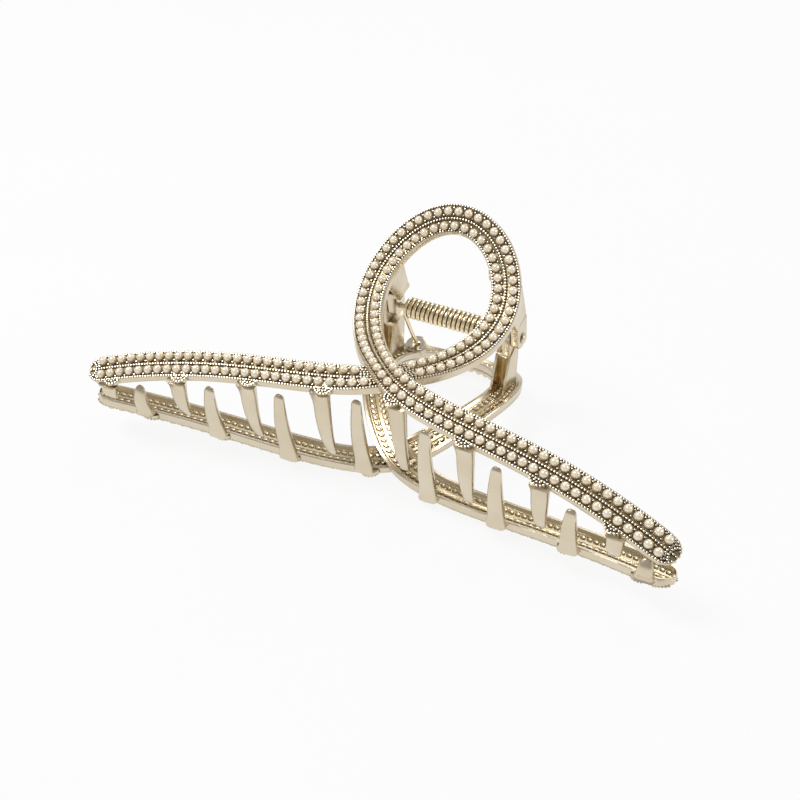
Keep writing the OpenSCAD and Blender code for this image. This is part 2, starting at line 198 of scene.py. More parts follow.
# Three curves make a strand: arm to crossing, crossing to the loop's side, side to the loop's top
LOOP_SIDE = Vector((LOOP_R, LOOP_WIDE_Y))
LOOP_TOP = Vector((0, LOOP_TOP_Y))
ARM_END = Vector((-HALF_L, -ARM_DROOP))
ORIGIN = Vector((0, 0))
ROUND_K = 0.5523  # a handle of this share makes a curve round
ARM_CURVE = [ARM_END, ARM_END + flat(0.54 * HALF_L, ARM_END_ANGLE),
             -flat(0.24 * HALF_L, CROSS_ANGLE), ORIGIN]
LOW_CURVE = [ORIGIN, flat(0.33 * LOOP_SIDE.length, CROSS_ANGLE),
             LOOP_SIDE - Vector((0, 0.3 * LOOP_SIDE.length)), LOOP_SIDE]
TOP_CURVE = [LOOP_SIDE, LOOP_SIDE + Vector((0, ROUND_K * (LOOP_TOP_Y - LOOP_WIDE_Y))),
             LOOP_TOP + Vector((ROUND_K * LOOP_R, 0)), LOOP_TOP]


class Station:
    """A place along a sweep: its point, its directions, and the shares of the outline's two sizes."""

    def __init__(self, at, along, out, across, share=1.0, rise_share=1.0):
        self.at = at
        self.along = along
        self.out = out
        self.across = across
        self.share = share
        self.rise_share = rise_share

    def place(self, u, v):
        return self.at + u * self.share * self.across + v * self.rise_share * self.out


def mirrored(v):
    return Vector((-v.x, v.y, v.z))


def strand_stations(side, end_steps, arm_steps, loop_steps):
    """One strand from the end of the left arm, through the crossing, to the top of the loop."""
    plan = [bezier(ARM_CURVE, t) for t in end_steps]
    plan += [bezier(ARM_CURVE, i / arm_steps) for i in range(1, arm_steps + 1)]
    plan += [bezier(LOW_CURVE, i / loop_steps) for i in range(1, loop_steps + 1)]
    plan += [bezier(TOP_CURVE, i / loop_steps) for i in range(1, loop_steps + 1)]
    solid = [Vector((p.x, p.y, face(p.x, p.y))) for p in plan]
    stations = []
    for i, p in enumerate(solid):
        ahead = solid[min(i + 1, len(solid) - 1)]
        behind = solid[max(i - 1, 0)]
        along = -X if i == len(solid) - 1 else (ahead - behind).normalized()
        normal = Vector((-bow_slope(p.x), -lean(p.x, p.y), 1))
        out = (normal - normal.dot(along) * along).normalized()
        d = math.hypot(HALF_L - abs(p.x), ARM_DROOP + p.y) / HALF_W
        share = 1 if d > 1 else math.sqrt(1 - (1 - d) ** 2)
        at = p + rise(p.x, p.y, side) * Z
        stations.append(Station(at, along, out, out.cross(along), share))
    return stations


def mirror_image(s):
    """The station in the same place on the other half, run the other way."""
    return Station(mirrored(s.at), -mirrored(s.along), mirrored(s.out), mirrored(s.across), s.share)


def turned_back(stations):
    """The mirror image of a strand, run the other way."""
    return [mirror_image(s) for s in reversed(stations)]


# The pearls follow the part's coarser strands, and the ribbon a finer one with rounder ends
PART_END_STEPS = (0.0012, 0.005, 0.011, 0.019)
lower = strand_stations(-1, PART_END_STEPS, 30, 13)
upper = turned_back(strand_stations(1, PART_END_STEPS, 30, 13))
FINE_END_STEPS = (0.0002, 0.0008, 0.002, 0.0038, 0.0062, 0.0092, 0.0128, 0.0165)
fine_lower = strand_stations(-1, FINE_END_STEPS, 54, 30)
fine_upper = turned_back(strand_stations(1, FINE_END_STEPS, 54, 30))
ribbon = fine_lower + fine_upper[1:]


# ---- mesh tools
# Places in a casting's list of metals
OUTER, UNDER_PEARLS, INSIDE, IN_CHANNEL = range(4)


def new_mesh():
    """An empty mesh that can note each vertex's corner of a swept outline."""
    bm = bmesh.new()
    bm.verts.layers.int.new("corner")
    return bm


def only(kind, items):
    return [item for item in items if isinstance(item, kind)]


def faces_at(verts):
    return list({f for v in verts for f in v.link_faces})


def sweep(bm, stations, outline, materials=None):
    """Runs a closed outline along the stations and caps both ends. Materials maps outline edges."""
    corner = bm.verts.layers.int["corner"]
    ring = []
    for k, (u, v) in enumerate(outline):
        vert = bm.verts.new(stations[0].place(u, v))
        vert[corner] = k
        ring.append(vert)
    count = len(outline)
    edges = [bm.edges.new((ring[k], ring[(k + 1) % count])) for k in range(count)]
    made = [bm.faces.new(ring)]
    for station in stations[1:]:
        grown = bmesh.ops.extrude_edge_only(bm, edges=edges)["geom"]
        last = set(only(bmesh.types.BMVert, grown))
        for vert in last:
            vert.co = station.place(*outline[vert[corner]])
        edges = [edge for edge in only(bmesh.types.BMEdge, grown) if set(edge.verts) <= last]
        for strip in only(bmesh.types.BMFace, grown):
            made.append(strip)
            if materials:
                # A strip is named after the corner it starts from, also where it closes the ring
                first, second = sorted({v[corner] for v in strip.verts})
                k = first if second == first + 1 else second
                strip.material_index = materials.get(k, OUTER)
    made.append(bmesh.ops.contextual_create(bm, geom=edges)["faces"][0])
    bmesh.ops.recalc_face_normals(bm, faces=made)


def bead_pattern(name, sides, rows, material=OUTER):
    """A round bead of radius 1, to be stamped many times."""
    bm = bmesh.new()
    bmesh.ops.create_uvsphere(bm, u_segments=sides, v_segments=rows, radius=1)
    for f in bm.faces:
        f.material_index = material
    mesh = bpy.data.meshes.new(name)
    bm.to_mesh(mesh)
    bm.free()
    return mesh


BEAD = bead_pattern("bead", 7, 4)
BUMP = bead_pattern("bump", 8, 4, INSIDE)
PEARL_BEAD = bead_pattern("pearl_bead", 12, 8)


def stamp(bm, pattern, matrix):
    """Adds one copy of a pattern to a mesh."""
    copy = pattern.copy()
    copy.transform(matrix)
    bm.from_mesh(copy)
    bpy.data.meshes.remove(copy)


def bead(bm, place, out, radius, pattern=BEAD):
    """Stamps a bead with its pole pointing outward."""
    turn = Z.rotation_difference(out).to_matrix().to_4x4()
    stamp(bm, pattern, Matrix.Translation(place) @ turn @ Matrix.Scale(radius, 4))


def soften(bm, faces, width, segments=2, angle=math.radians(30)):
    """Rounds the sharp edges of the given faces."""
    edges = {e for f in faces for e in f.edges if e.is_manifold and e.calc_face_angle(0) > angle}
    bmesh.ops.bevel(bm, geom=list(edges), offset=width, offset_type="OFFSET", segments=segments,
                    profile=0.5, affect="EDGES", material=-1, clamp_overlap=True)


def finish_piece(bm, name, place, materials, body, nodes, sharp=math.radians(38)):
    """Turns a mesh in a jaw's axes into a piece in its place, in metres."""
    bm.transform(TO_METRES @ place)
    for f in bm.faces:
        f.smooth = True
    for e in bm.edges:
        e.smooth = e.calc_face_angle(0) < sharp
    mesh = bpy.data.meshes.new(name)
    bm.to_mesh(mesh)
    bm.free()
    piece = bpy.data.objects.new(name, mesh)
    bpy.context.scene.collection.objects.link(piece)
    for material in materials:
        mesh.materials.append(material)
    if body:
        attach(piece, body)
    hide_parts(*nodes)
    return piece


# ---- finishes
class Signal:
    """A value on its way through a shader. Arithmetic on it adds Math nodes."""

    def __init__(self, finish, socket):
        self.finish = finish
        self.socket = socket

    def math(self, operation, first, second):
        return self.finish.add("ShaderNodeMath", {"operation": operation}, {0: first, 1: second})

    def __add__(self, other):
        return self.math("ADD", self, other)

    def __radd__(self, other):
        return self.math("ADD", other, self)

    def __sub__(self, other):
        return self.math("SUBTRACT", self, other)

    def __rsub__(self, other):
        return self.math("SUBTRACT", other, self)

    def __mul__(self, other):
        return self.math("MULTIPLY", self, other)

    def __rmul__(self, other):
        return self.math("MULTIPLY", other, self)


class Finish:
    """One material with a Principled shader."""

    def __init__(self, name, **constants):
        self.material = bpy.data.materials.new(name)
        self.material.use_nodes = True
        self.tree = self.material.node_tree
        self.tree.nodes.clear()
        self.output = self.tree.nodes.new("ShaderNodeOutputMaterial")
        self.shader = self.tree.nodes.new("ShaderNodeBsdfPrincipled")
        self.tree.links.new(self.shader.outputs["BSDF"], self.output.inputs["Surface"])
        for socket, value in constants.items():
            self.shader.inputs[socket.replace("_", " ")].default_value = value
        coordinates = self.tree.nodes.new("ShaderNodeTexCoord")
        self.place = Signal(self, coordinates.outputs["Object"])

    def add(self, kind, settings, sockets, output=0):
        """Adds any node: its type, its settings, then the values or links of its sockets."""
        node = self.tree.nodes.new(kind)
        for key, value in settings.items():
            setattr(node, key, value)
        for socket, value in sockets.items():
            target = node.inputs[socket]
            if isinstance(value, Signal):
                self.tree.links.new(value.socket, target)
            else:
                target.default_value = value
        return Signal(self, node.outputs[output])

    def noise(self, scale, detail):
        return self.add("ShaderNodeTexNoise", {},
                        {"Vector": self.place, "Scale": scale, "Detail": detail})

    def spread(self, value, low, high):
        """What lies between two levels, spread from 0 to 1."""
        return self.add("ShaderNodeMapRange", {}, {0: value, 1: low, 2: high})

    def blend(self, share, first, second):
        """A colour between two colours, through the colour sockets of a Mix node."""
        return self.add("ShaderNodeMix", {"data_type": "RGBA"}, {0: share, 6: first, 7: second},
                        output=2)

    def hollow(self, distance):
        """Painted shade from an occlusion node: 1 in the open and less in the gaps between beads and
        under edges.
        """
        return self.add("ShaderNodeAmbientOcclusion", {"samples": 8, "only_local": True},
                        {"Distance": distance}, output="AO")

    def bump(self, height, strength):
        return self.add("ShaderNodeBump", {},
                        {"Strength": strength, "Distance": GRAIN_HEIGHT, "Height": height})

    def feed(self, **signals):
        for socket, signal in signals.items():
            self.tree.links.new(signal.socket, self.shader.inputs[socket.replace("_", " ")])
        return self.material


# Lengths in metres and colours in linear light, as the shaders take them
GRAIN_HEIGHT = 0.00002
# How far the painted shade reaches into the recesses of each finish
BEADING_GAP = 0.0009
BACK_GAP = 0.0016
RIB_GAP = 0.0004
COIL_GAP = 0.0006


def casting_finish(name, bright, warm, painted_shade_colour, roughness, gap):
    """Plated casting: pale in the open, warmer by patches, and darkened with painted shade in the
    recesses and gaps.
    """
    f = Finish(name, Metallic=1.0)
    patches = f.spread(f.noise(140, 3), 0.35, 0.65)
    grain = f.noise(9000, 2)
    unshaded_share = f.spread(f.hollow(gap), 0.25, 0.85)
    metal = f.blend(patches * 0.55, bright, warm)
    # Where the occlusion mask is low, the colour goes over to painted shade.
    colour = f.blend(unshaded_share, painted_shade_colour, metal)
    rough = roughness + 0.10 * patches + 0.10 * grain - 0.06 * unshaded_share
    return f.feed(Base_Color=colour, Roughness=rough, Normal=f.bump(grain, 0.25))


def wire_finish(name, dark, light, painted_shade_colour):
    """Drawn and plated wire: streaked, and darkened with painted shade between the turns."""
    f = Finish(name, Metallic=1.0)
    streaks = f.noise(2600, 3)
    unshaded_share = f.spread(f.hollow(COIL_GAP), 0.2, 0.9)
    metal = f.blend(streaks, dark, light)
    # Between the turns, the colour goes over to painted shade.
    colour = f.blend(unshaded_share, painted_shade_colour, metal)
    rough = 0.16 + 0.12 * streaks
    return f.feed(Base_Color=colour, Roughness=rough, Normal=f.bump(streaks, 0.2))


def pearl_finish(name, cream, ivory, edge):
    """Lacquered pearl with a faint change of tone from bead to bead and a painted dark reflection at
    its rim.
    """
    f = Finish(name, Coat_Weight=1.0, Coat_Roughness=0.09, IOR=1.7, Metallic=0.35)
    tone = f.spread(f.noise(420, 1), 0.3, 0.7)
    facing = f.add("ShaderNodeLayerWeight", {}, {"Blend": 0.35}, output="Facing")
    body = f.blend(tone, cream, ivory)
    # Towards the rim, the colour goes over to a painted dark reflection.
    colour = f.blend(facing * 0.8, body, edge)
    rough = 0.17 + 0.07 * tone
    return f.feed(Base_Color=colour, Roughness=rough)


# The last colour given to each metal is painted shade for its recesses; the post channel's is lighter.
CASTING = casting_finish(
    "champagne_casting", bright=(0.70, 0.62, 0.48, 1), warm=(0.64, 0.545, 0.39, 1),
    painted_shade_colour=(0.10, 0.065, 0.028, 1), roughness=0.25, gap=BEADING_GAP)
# The pearl seat is a darker copy of the casting: painted shade under the pearls.
PAINTED_SHADE_SEAT = casting_finish(
    "painted_shade_pearl_seat", bright=(0.34, 0.27, 0.16, 1), warm=(0.28, 0.21, 0.11, 1),
    painted_shade_colour=(0.04, 0.026, 0.012, 1), roughness=0.36, gap=BEADING_GAP)
HOLLOW = casting_finish(
    "golden_hollow_back", bright=(0.70, 0.60, 0.42, 1), warm=(0.60, 0.49, 0.30, 1),
    painted_shade_colour=(0.09, 0.055, 0.02, 1), roughness=0.28, gap=BACK_GAP)
CHANNEL = casting_finish(
    "golden_post_channel", bright=(0.74, 0.62, 0.40, 1), warm=(0.64, 0.51, 0.30, 1),
    painted_shade_colour=(0.34, 0.24, 0.11, 1), roughness=0.24, gap=RIB_GAP)
WIRE = wire_finish(
    "spring_wire_brass", dark=(0.86, 0.73, 0.47, 1), light=(0.93, 0.83, 0.62, 1),
    painted_shade_colour=(0.20, 0.13, 0.045, 1))
# The pearl's edge colour is a painted dark reflection at the rim.
PEARL = pearl_finish(
    "cream_pearl", cream=(0.86, 0.74, 0.55, 1), ivory=(0.94, 0.85, 0.68, 1),
    edge=(0.34, 0.25, 0.15, 1))
METALS = [CASTING, PAINTED_SHADE_SEAT, HOLLOW, CHANNEL]


# ---- the ribbon: one channelled strand that crosses itself, with beading along it
# Details finer than the part's
LEDGE = 0.05
BEAD_R = 0.33
BEAD_PITCH = 0.63
BEAD_LIFT = 0.06
MID_BEAD_R = 0.36
MID_BEAD_PITCH = 1.05 * BEAD_PITCH
INNER_BEADS = -HALF_W + 0.3
OUTER_BEADS = HALF_W - 0.48
LEAST_BEADED_SHARE = 0.3
GRAIN_R = 0.3
GRAIN_LIFT = 0.1
GRAIN_ASIDE = 0.72
END_GRAIN_R = 1.2 * GRAIN_R
END_GRAIN_PITCH = 0.7
END_GRAIN_ROWS = (-1.95, -1.3, -0.65, 0.65, 1.3, 1.95)
END_GRAIN_L = 2.4
END_GRAIN_SHARE = 0.75
BARE_END_L = 1.2
ROPE_ASIDE = 1.1
ROPE_PITCH = 1.5
ROPE_SLANT = 0.5
ROPE_DEPTH = 0.84
ROPE_SIZE = (0.78, 0.5, 0.42, 1)
# Across the strand and outward: lower wall, ledge, seat, ledge, chamfered upper wall, then the
# hollow back with its two raised bands
RIBBON_OUTLINE = [
    (-HALF_W + 0.12, -SKIRT_D), (-HALF_W, -SKIRT_D + 0.12), (-HALF_W, -0.12),
    (-HALF_W + 0.1, LEDGE), (-HALF_W + 0.5, LEDGE), (-HALF_W + 0.62, -0.03),
    (HALF_W - 0.7, -0.03), (HALF_W - 0.62, LEDGE), (HALF_W - 0.36, LEDGE), (HALF_W, -0.5),
    (HALF_W, -SKIRT_D + 0.12), (HALF_W - 0.12, -SKIRT_D), (HALF_W - SKIRT_T + 0.1, -SKIRT_D),
    (HALF_W - SKIRT_T, -SKIRT_D + 0.1), (HALF_W - SKIRT_T - 0.2, -SEAT_T - 0.12),
    (HALF_W - SKIRT_T - 0.35, -SEAT_T), (1.85, -SEAT_T), (1.65, -0.8), (0.55, -0.8),
    (0.3, -SEAT_T), (-0.3, -SEAT_T), (-0.55, -0.8), (-1.65, -0.8), (-1.85, -SEAT_T),
    (-HALF_W + SKIRT_T + 0.35, -SEAT_T), (-HALF_W + SKIRT_T + 0.2, -SEAT_T - 0.12),
    (-HALF_W + SKIRT_T, -SKIRT_D + 0.1), (-HALF_W + SKIRT_T - 0.1, -SKIRT_D)]
SEAT_EDGE = 5
HOLLOW_EDGES = range(12, 27)
RIBBON_METALS = {SEAT_EDGE: UNDER_PEARLS, **{k: INSIDE for k in HOLLOW_EDGES}}


def spaced(stations, across, pitch, start=0.5):
    """Even places along a line on the strand: for each one its station and the way along."""
    line = [s.place(across, 0) for s in stations]
    sums = [0.0]
    for a, b in zip(line, line[1:]):
        sums.append(sums[-1] + (b - a).length)
    count = math.floor(sums[-1] / pitch)
    step = sums[-1] / count
    places = []
    k = 0
    for i in range(count):
        s = (i + start) * step
        while k < len(sums) - 2 and sums[k + 1] <= s:
            k += 1
        t = (s - sums[k]) / (sums[k + 1] - sums[k])
        a, b = stations[k], stations[k + 1]
        middle = Station(a.at.lerp(b.at, t), a.along.lerp(b.along, t), a.out.lerp(b.out, t),
                         a.across.lerp(b.across, t), mix(a.share, b.share, t))
        places.append((middle, line[k + 1] - line[k]))
    return places


def near_station(x):
    """The arm's station nearest to a distance from the middle, on the arm below the crossing."""
    arm = [s for s in lower if s.at.x <= 0 and s.at.y <= 0]
    return min(arm, key=lambda s: abs(abs(x) + s.at.x))


def arm_drop(x):
    """The lower edge of the arm at a distance from the middle."""
    s = near_station(x)
    return s.at.y - HALF_W * abs(s.across.y)


TOOTH_PITCH = (CLIP_L - 2 * TOOTH_END) / (TOOTH_N - 1 + 2 * TOOTH_SHIFT)
TOOTH_PLACES = [TOOTH_END - HALF_L + i * TOOTH_PITCH for i in range(TOOTH_N)]


COLLAR_W = 1.9
COLLAR_H = 1.5
COLLAR_IN = 0.35
COLLAR_FOOT = 0.9
COLLAR_T = 0.86
COLLAR_BEAD_W = 1.75
COLLAR_BEAD_H = 1.35
COLLAR_ROWS = ((1.0, 8), (0.55, 5))
COLLAR_ARC = 160


def tooth_collar(bm, x):
    """A small disc on the strand's lower edge, over the root of a tooth. Gives its beads' places."""
    s = near_station(x)
    if x > 0:
        s = mirror_image(s)
    at = Vector((x, s.at.y, face(x, s.at.y)))
    down = -1 if s.across.y > 0 else 1
    centre = at + down * (HALF_W - COLLAR_IN) * s.across
    basis = Matrix((s.along, down * s.across, s.out)).transposed().to_4x4()
    size = Matrix.Diagonal((COLLAR_W, COLLAR_H, 1, 1))
    turn = Matrix.Translation(centre - COLLAR_FOOT * s.out) @ basis @ size
    disc = bmesh.ops.create_circle(bm, cap_ends=True, segments=24, radius=1, matrix=turn)["verts"]
    top = bmesh.ops.extrude_face_region(bm, geom=faces_at(disc))["geom"]
    raised = only(bmesh.types.BMVert, top)
    bmesh.ops.translate(bm, verts=raised, vec=COLLAR_T * s.out)
    bmesh.ops.recalc_face_normals(bm, faces=faces_at(raised + disc))
    found = []
    for reach, count in COLLAR_ROWS:
        for i in range(count):
            a = math.radians((180 - COLLAR_ARC) / 2 + i * COLLAR_ARC / (count - 1))
            aside = COLLAR_BEAD_W * reach * math.cos(a) * s.along
            ahead = down * COLLAR_BEAD_H * reach * math.sin(a) * s.across
            found.append((centre + aside + ahead + 0.02 * s.out, s.out))
    return found


BETWEEN_R = 0.52 * CROSSING_R


def between_strands(station):
    """Whether a place is on the lower strand, beside the upper one, where no pearl fits."""
    at = station.at
    return math.hypot(at.x, at.y) < BETWEEN_R and at.x * at.y > 0


def ribbon_mesh():
    bm = new_mesh()
    sweep(bm, ribbon, RIBBON_OUTLINE, RIBBON_METALS)
    collar_beads = [b for x in TOOTH_PLACES for b in tooth_collar(bm, x)]
    for place, out in collar_beads:
        bead(bm, place, out, BEAD_R)
    for across in (INNER_BEADS, OUTER_BEADS):
        for station, _ in spaced(ribbon, across, BEAD_PITCH):
            if station.share > LEAST_BEADED_SHARE:
                at = station.place(across, LEDGE + BEAD_LIFT)
                bead(bm, at, station.out.normalized(), BEAD_R)
    for station, _ in spaced(ribbon, 0, MID_BEAD_PITCH):
        bead(bm, station.place(0, GRAIN_LIFT), station.out.normalized(), MID_BEAD_R)
    for stations in (lower, upper):
        for row in (-ROW_GAP / 2, ROW_GAP / 2):
            for station, _ in spaced(stations, row, PEARL_PITCH, start=1):
                for aside in (-GRAIN_ASIDE, GRAIN_ASIDE):
                    if abs(station.at.x) < HALF_L - BARE_END_L:
                        at = station.place(row + aside, GRAIN_LIFT)
                        bead(bm, at, station.out.normalized(), GRAIN_R)
    for across in END_GRAIN_ROWS:
        for station, _ in spaced(ribbon, across, END_GRAIN_PITCH):
            in_end = abs(station.at.x) > HALF_L - END_GRAIN_L and station.share > END_GRAIN_SHARE
            if in_end or between_strands(station):
                at = station.place(across, GRAIN_LIFT)
                bead(bm, at, station.out.normalized(), END_GRAIN_R)
    for across in (-ROPE_ASIDE, ROPE_ASIDE):
        for station, along in spaced(ribbon, across, ROPE_PITCH):
            lean_in = math.copysign(ROPE_SLANT, across) * station.across
            slant = (along.normalized() + lean_in).normalized()
            out = station.out.normalized()
            side = out.cross(slant).normalized()
            basis = Matrix((slant, side, out)).transposed().to_4x4()
            place = Matrix.Translation(station.place(across, -ROPE_DEPTH))
            stamp(bm, BUMP, place @ basis @ Matrix.Diagonal(ROPE_SIZE))
    return bm


# ---- teeth
# A tooth is a rounded bar that tapers from a flared root to a round tip, and bows on the way
TOOTH_OUTLINE = [(-1, -0.45), (-1, 0.45), (-0.86, 0.8), (-0.66, 1), (0.66, 1), (0.86, 0.8),
                 (1, 0.45), (1, -0.45), (0.86, -0.8), (0.66, -1), (-0.66, -1), (-0.86, -0.8)]
TOOTH_STEPS = [0, 0.04, 0.08, 0.13, 0.2, 0.3, 0.4, 0.5, 0.6, 0.7,
               0.78, 0.85, 0.9, 0.935, 0.96, 0.98, 0.993, 1]
ROOT_FLARE_SHARE = 0.24
ROOT_FLARE_DROP = 0.75
ROOT_FLARE_W = 0.35
ROOT_FLARE_T = 0.3
ROOT_INSIDE = 0.4
END_TOOTH_GAP_SHARE = 0.4
TAPER_SHARE = 0.92
TAPER_POWER = 2.2
LEAST_TIP_W = 0.12
LEAST_TIP_T = 0.3


def teeth_mesh():
    bm = new_mesh()
    for x in TOOTH_PLACES:
        end_lean = ARM_LEAN + ARM_END_LEAN * abs(x) / HALF_L
        top = bow(abs(x) + TOOTH_ROOT_W / 2) - end_lean * HALF_W - SEAT_T / 2
        gap = TOOTH_GAP * mix(END_TOOTH_GAP_SHARE, 1, min(1, (bow(x) - END_DEPTH) / 4))
        tip = -(bow(x) - SKIRT_D - ARM_LEAN * HALF_W - gap)
        edge = arm_drop(x)
        stations = []
        for u in TOOTH_STEPS:
            root = max(0, 1 - u / ROOT_FLARE_SHARE) ** 2
            y = (1 - u) ** 2 * ROOT_INSIDE - 2 * u * (1 - u) * TOOTH_BULGE + u * u * TOOTH_RISE
            y -= ROOT_FLARE_DROP * root
            taper = 1 - min(1, u / TAPER_SHARE) ** TAPER_POWER
            left = (1 - u) * (top - tip) / (0.5 * TOOTH_TIP_W)
            rounding = math.sqrt(1 - (1 - min(1, left)) ** 2)
            width = mix(TOOTH_TIP_W, TOOTH_ROOT_W, taper) / 2 + ROOT_FLARE_W * root
            thick = mix(TOOTH_TIP_T, TOOTH_ROOT_T, taper) / 2 + ROOT_FLARE_T * root
            at = Vector((x, edge + y, mix(top, tip, u)))
            stations.append(Station(at, -Z, Y, -X, width * max(rounding, LEAST_TIP_W),
                                    thick * max(rounding, LEAST_TIP_T)))
        sweep(bm, stations, TOOTH_OUTLINE)
    return bm


# ---- hinge ears: a plate with the pin's eye, on a channelled post
# The post's walls are thinner than the part's and its channel is shallower
POST_WALL = 0.6
CHANNEL_BACK = 3.6
CHANNEL_RIB = 0.3
CHANNEL_CORNERS = range(4, 15)
BLOCK_LAP = 0.05
EYE_SIDES = 40
RING_SIDES = 36
CAST_ROUNDING = 0.2
EYE_ROUNDING = 0.18
POST_ROUNDING = 0.12


def eye_plate(bm, x0):
    """A plate round the pin's bore, flat where it meets its post."""
    rim = []
    hole = []
    for i in range(EYE_SIDES):
        a = 2 * math.pi * i / EYE_SIDES
        c, s = math.cos(a), math.sin(a)
        if s > 0:
            reach = min(EAR_R / max(abs(c), 1e-6), EYE_WEB_Z / s)
        else:
            reach = EAR_R
        rim.append(bm.verts.new((x0, PIN_Y + reach * c, reach * s)))
        hole.append(bm.verts.new((x0, PIN_Y + BORE_R * c, BORE_R * s)))
    loops = []
    for ring in (rim, hole):
        loops += [bm.edges.new((ring[i], ring[(i + 1) % EYE_SIDES])) for i in range(EYE_SIDES)]
    faces = bmesh.ops.bridge_loops(bm, edges=loops)["faces"]
    grown = bmesh.ops.extrude_face_region(bm, geom=faces)["geom"]
    moved = only(bmesh.types.BMVert, grown)
    bmesh.ops.translate(bm, verts=moved, vec=EAR_T * X)
    everything = faces_at(rim + hole + moved)
    bmesh.ops.recalc_face_normals(bm, faces=everything)
    soften(bm, everything, EYE_ROUNDING, angle=math.radians(60))


def post(bm, post_x):
    """A post from the strand down to the eye, with a channel that is open towards the teeth."""
    mid = post_x + POST_W / 2
    w = POST_WALL
    back = CHANNEL_BACK
    rib = CHANNEL_RIB
    outline = [(0, 0), (0, 1), (POST_W, 1), (POST_W, 0), (POST_W - w, 0), (POST_W - w, -back),
               (POST_W - w - 0.4, -back), (POST_W - w - 0.55, -back - rib),
               (POST_W - w - 0.75, -back - rib), (POST_W / 2, -back), (w + 0.75, -back - rib),
               (w + 0.55, -back - rib), (w + 0.4, -back), (w, -back), (w, 0)]
    corner = bm.verts.layers.int["corner"]

    def places(s):
        low = mix(PIN_Y - EAR_FOOT, PIN_Y - EAR_R, s)
        high = mix(PIN_Y, PIN_Y + EAR_R, s)
        found = []
        for u, v in outline:
            y = high if v == 1 else low if v == 0 else high + v
            foot_y = mix(PIN_Y - EAR_FOOT, PIN_Y, (y - low) / (high - low))
            z = mix(face(mid, foot_y) - SEAT_T / 2, POST_LOW_Z, s)
            found.append(Vector((post_x + u, y, z)))
        return found

    first = places(0)
    ring = [bm.verts.new(p) for p in first]
    for k, v in enumerate(ring):
        v[corner] = k
    count = len(ring)
    edges = [bm.edges.new((ring[k], ring[(k + 1) % count])) for k in range(count)]
    made = [bm.faces.new(ring)]
    for s in (0.2, 0.4, 0.6, 0.8, 1):
        goal = places(s)
        grown = bmesh.ops.extrude_edge_only(bm, edges=edges)["geom"]
        fresh = set(only(bmesh.types.BMVert, grown))
        for v in fresh:
            v.co = goal[v[corner]]
        edges = [e for e in only(bmesh.types.BMEdge, grown) if set(e.verts) <= fresh]
        for f in only(bmesh.types.BMFace, grown):
            made.append(f)
            if all(v[corner] in CHANNEL_CORNERS for v in f.verts):
                f.material_index = IN_CHANNEL
    made.append(bmesh.ops.contextual_create(bm, geom=edges)["faces"][0])
    bmesh.ops.recalc_face_normals(bm, faces=made)
    soften(bm, made, POST_ROUNDING, angle=math.radians(60))
    floor_t = 2 * POST_WALL
    size = Matrix.Diagonal((POST_W + 2 * BLOCK_LAP, 2 * EAR_R + 2 * BLOCK_LAP, floor_t, 1))
    centre = Matrix.Translation((mid, PIN_Y, POST_LOW_Z + floor_t / 2 - BLOCK_LAP))
    block = bmesh.ops.create_cube(bm, size=1, matrix=centre @ size)["verts"]
    soften(bm, faces_at(block), CAST_ROUNDING)


def ring_plate(bm, matrix, outer, inner, thick):
    """A round plate with a hole, softened at its rims."""
    rings = []
    verts = []
    for radius in (outer, inner):
        ring = bmesh.ops.create_circle(bm, segments=RING_SIDES, radius=radius, matrix=matrix)["verts"]
        verts += ring
        rings += list({e for v in ring for e in v.link_edges})
    faces = bmesh.ops.bridge_loops(bm, edges=rings)["faces"]
    grown = bmesh.ops.extrude_face_region(bm, geom=faces)["geom"]
    moved = only(bmesh.types.BMVert, grown)
    bmesh.ops.translate(bm, verts=moved, vec=matrix.to_3x3() @ (thick * Z))
    everything = faces_at(verts + moved)
    bmesh.ops.recalc_face_normals(bm, faces=everything)
    soften(bm, everything, CAST_ROUNDING, angle=math.radians(60))


def loop_top_y(x):
    """The loop's height at a distance from the middle, along its upper curve."""
    line = [bezier(TOP_CURVE, 1 - i / 13) for i in range(14)]
    for a, b in zip(line, line[1:]):
        if a.x <= x <= b.x:
            return mix(a.y, b.y, (x - a.x) / (b.x - a.x))
    return line[-1].y


# The spring's legs leave the coil straight for the lugs, so the lugs' place gives the last part turn.
# LEAVE is the angle round the pin at which a leg leaves the coil
whole_half = COIL_TURNS * COIL_PITCH / 2
LUG_Y = loop_top_y(whole_half) - LUG_DROP
LUG_Z = face(whole_half, LUG_Y) - SKIRT_D - LUG_DEPTH
lug_reach = math.hypot(LUG_Y - PIN_Y, LUG_Z)
LEG_L = math.sqrt(lug_reach**2 - COIL_R**2)
LEAVE = math.atan2(LUG_Z, LUG_Y - PIN_Y) + math.acos(COIL_R / lug_reach)
LEG_DIR = Vector((0, math.sin(LEAVE), -math.cos(LEAVE)))
COIL_ANGLE = 2 * math.pi * COIL_TURNS + (4 * math.pi - 2 * LEAVE) % (2 * math.pi)
COIL_HALF = COIL_ANGLE / (2 * math.pi) * COIL_PITCH / 2


